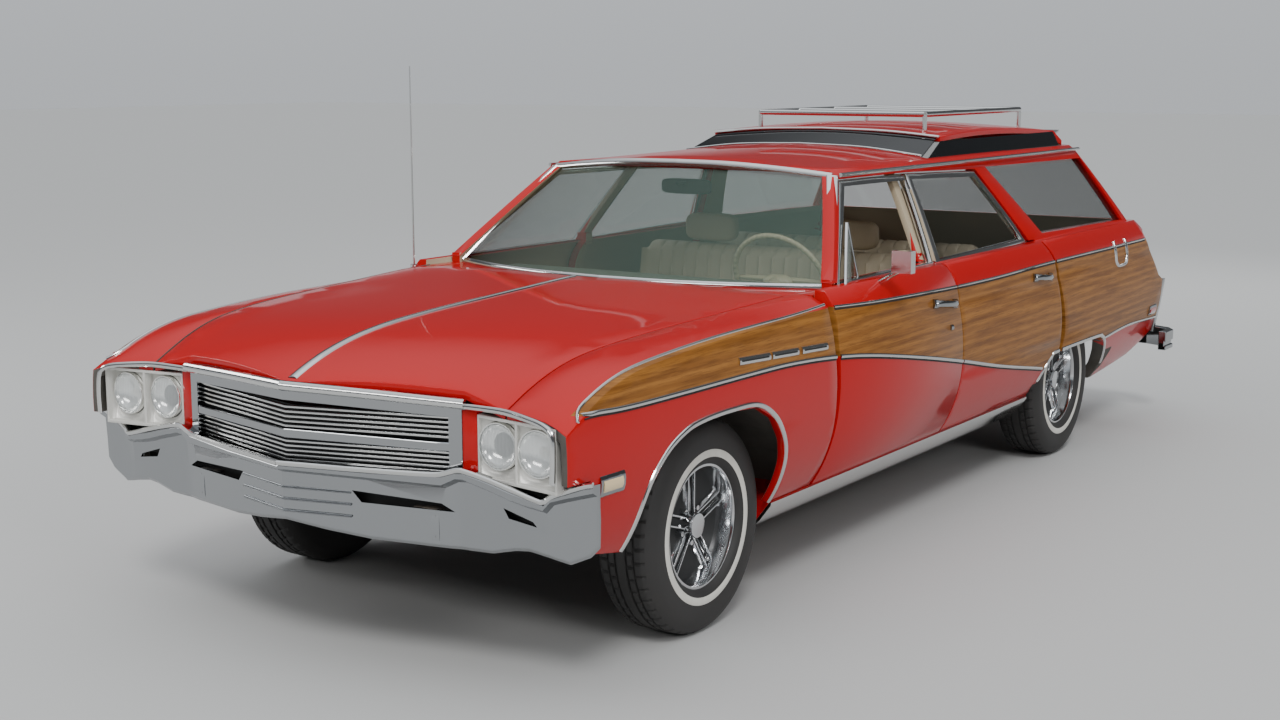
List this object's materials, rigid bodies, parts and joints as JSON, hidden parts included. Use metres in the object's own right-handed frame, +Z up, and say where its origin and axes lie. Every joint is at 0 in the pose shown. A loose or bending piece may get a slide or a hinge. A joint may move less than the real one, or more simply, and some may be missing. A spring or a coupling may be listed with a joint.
{
  "type": "station wagon",
  "caption": "Full-size family station wagon with a raised glass-edged roof, wood-grain side panels, opening doors, hood and tailgate, steered front wheels.",
  "frame": {"origin": "on the ground under the middle of the car's length and width", "axes": "+X to the car's left, +Y rearwards, +Z up"},
  "size_m": [2.002, 5.438, 1.7419],
  "materials": {
    "red_paint": "gloss",
    "wheel_chrome": "polished",
    "tyre_rubber": "matte",
    "clear_glass": "clear",
    "dark_glass": "tinted",
    "bright_chrome": "polished",
    "lamp_glass": "clear",
    "red_lens": "gloss",
    "black_steel": "satin",
    "cast_iron_block": "rough",
    "silver_paint": "satin",
    "rusty_steel": "rusty",
    "cream_vinyl": "grained",
    "dash_pad": "matte",
    "cream_plastic": "gloss",
    "floor_steel": "matte"
  },
  "bodies": {
    "body": {"antenna": "bright_chrome", "body_side_left": "red_paint", "body_side_right": "red_paint", "bumper_front": "bright_chrome", "bumper_rear": "bright_chrome", "chassis_frame": "black_steel", "cowl": "red_paint", "dashboard": "dash_pad", "driveshaft": "black_steel", "engine": "cast_iron_block", "exhaust": "rusty_steel", "fender_left": "red_paint", "fender_right": "red_paint", "filler_panels": "red_paint", "floor": "floor_steel", "front_seat": "cream_vinyl", "front_suspension": "black_steel", "fuel_tank": "black_steel", "grille": "bright_chrome", "grille_bars": "bright_chrome", "headlamps": "lamp_glass", "inner_fenders": "black_steel", "lamp_bezels": "silver_paint", "quarter_glass": "clear_glass", "rack": "bright_chrome", "radiator_support": "black_steel", "rear_axle": "black_steel", "rear_seat": "cream_vinyl", "roof": "red_paint", "skylights": "dark_glass", "steering_column": "cream_plastic", "tail_lamps": "red_lens", "tailgate_glass": "clear_glass", "windshield": "clear_glass"},
    "hood": {"hood": "red_paint"},
    "tailgate": {"tailgate": "red_paint"},
    "front_door_left": {"front_door_left": "red_paint", "front_door_frame_left": "bright_chrome", "vent_window": "clear_glass", "door_mirror": "bright_chrome"},
    "front_door_right": {"front_door_right": "red_paint", "front_door_frame_right": "bright_chrome", "front_door_glass_right": "clear_glass"},
    "rear_door_left": {"rear_door_left": "red_paint", "rear_door_frame_left": "bright_chrome", "rear_door_glass_left": "clear_glass"},
    "rear_door_right": {"rear_door_right": "red_paint", "rear_door_frame_right": "bright_chrome", "rear_door_glass_right": "clear_glass"},
    "knuckle_left": {"knuckle_left": "black_steel"},
    "knuckle_right": {"knuckle_right": "black_steel"},
    "wheel_front_left": {"wheel_front_left": "wheel_chrome", "tyre_front_left": "tyre_rubber"},
    "wheel_front_right": {"wheel_front_right": "wheel_chrome", "tyre_front_right": "tyre_rubber"},
    "wheel_rear_left": {"wheel_rear_left": "wheel_chrome", "tyre_rear_left": "tyre_rubber"},
    "wheel_rear_right": {"wheel_rear_right": "wheel_chrome", "tyre_rear_right": "tyre_rubber"},
    "steering_wheel": {"steering_wheel": "cream_plastic"}
  },
  "joints": [
    {"name": "steer_left", "type": "hinge", "parent": "body", "child": "knuckle_left", "pos_m": [0.64, -1.738, 0.338], "axis": [0, 0, 1], "range_deg": [-32, 32]},
    {"name": "steer_right", "type": "hinge", "parent": "body", "child": "knuckle_right", "pos_m": [-0.64, -1.738, 0.338], "axis": [0, 0, 1], "range_deg": [-32, 32]},
    {"name": "spin_front_left", "type": "hinge", "parent": "knuckle_left", "child": "wheel_front_left", "pos_m": [0.75, -1.738, 0.338], "axis": [1, 0, 0], "continuous": true},
    {"name": "spin_front_right", "type": "hinge", "parent": "knuckle_right", "child": "wheel_front_right", "pos_m": [-0.75, -1.738, 0.338], "axis": [1, 0, 0], "continuous": true},
    {"name": "spin_rear_left", "type": "hinge", "parent": "body", "child": "wheel_rear_left", "pos_m": [0.75, 1.335, 0.338], "axis": [1, 0, 0], "continuous": true},
    {"name": "spin_rear_right", "type": "hinge", "parent": "body", "child": "wheel_rear_right", "pos_m": [-0.75, 1.335, 0.338], "axis": [1, 0, 0], "continuous": true},
    {"name": "steering_wheel_turn", "type": "hinge", "parent": "body", "child": "steering_wheel", "pos_m": [0.375, -0.448, 0.945], "axis": [0, -0.9063, -0.4227], "range_deg": [-512, 512]},
    {"name": "front_door_left_hinge", "type": "hinge", "parent": "body", "child": "front_door_left", "pos_m": [0.95, -1.04, 0.7], "axis": [0, 0, -1], "range_deg": [0, 65]},
    {"name": "rear_door_left_hinge", "type": "hinge", "parent": "body", "child": "rear_door_left", "pos_m": [0.95, 0.01, 0.7], "axis": [0, 0, -1], "range_deg": [0, 62]},
    {"name": "front_door_right_hinge", "type": "hinge", "parent": "body", "child": "front_door_right", "pos_m": [-0.95, -1.04, 0.7], "axis": [0, 0, 1], "range_deg": [0, 65]},
    {"name": "rear_door_right_hinge", "type": "hinge", "parent": "body", "child": "rear_door_right", "pos_m": [-0.95, 0.01, 0.7], "axis": [0, 0, 1], "range_deg": [0, 62]},
    {"name": "hood_hinge", "type": "hinge", "parent": "body", "child": "hood", "pos_m": [0, -1.172, 0.985], "axis": [-1, 0, 0], "range_deg": [0, 48]},
    {"name": "tailgate_hinge", "type": "hinge", "parent": "body", "child": "tailgate", "pos_m": [0, 2.412, 0.478], "axis": [-1, 0, 0], "range_deg": [0, 90]}
  ],
  "couplings": [
    {"joint": "steer_right", "follows": "steer_left", "ratio": 1},
    {"joint": "steering_wheel_turn", "follows": "steer_left", "ratio": -16}
  ]
}
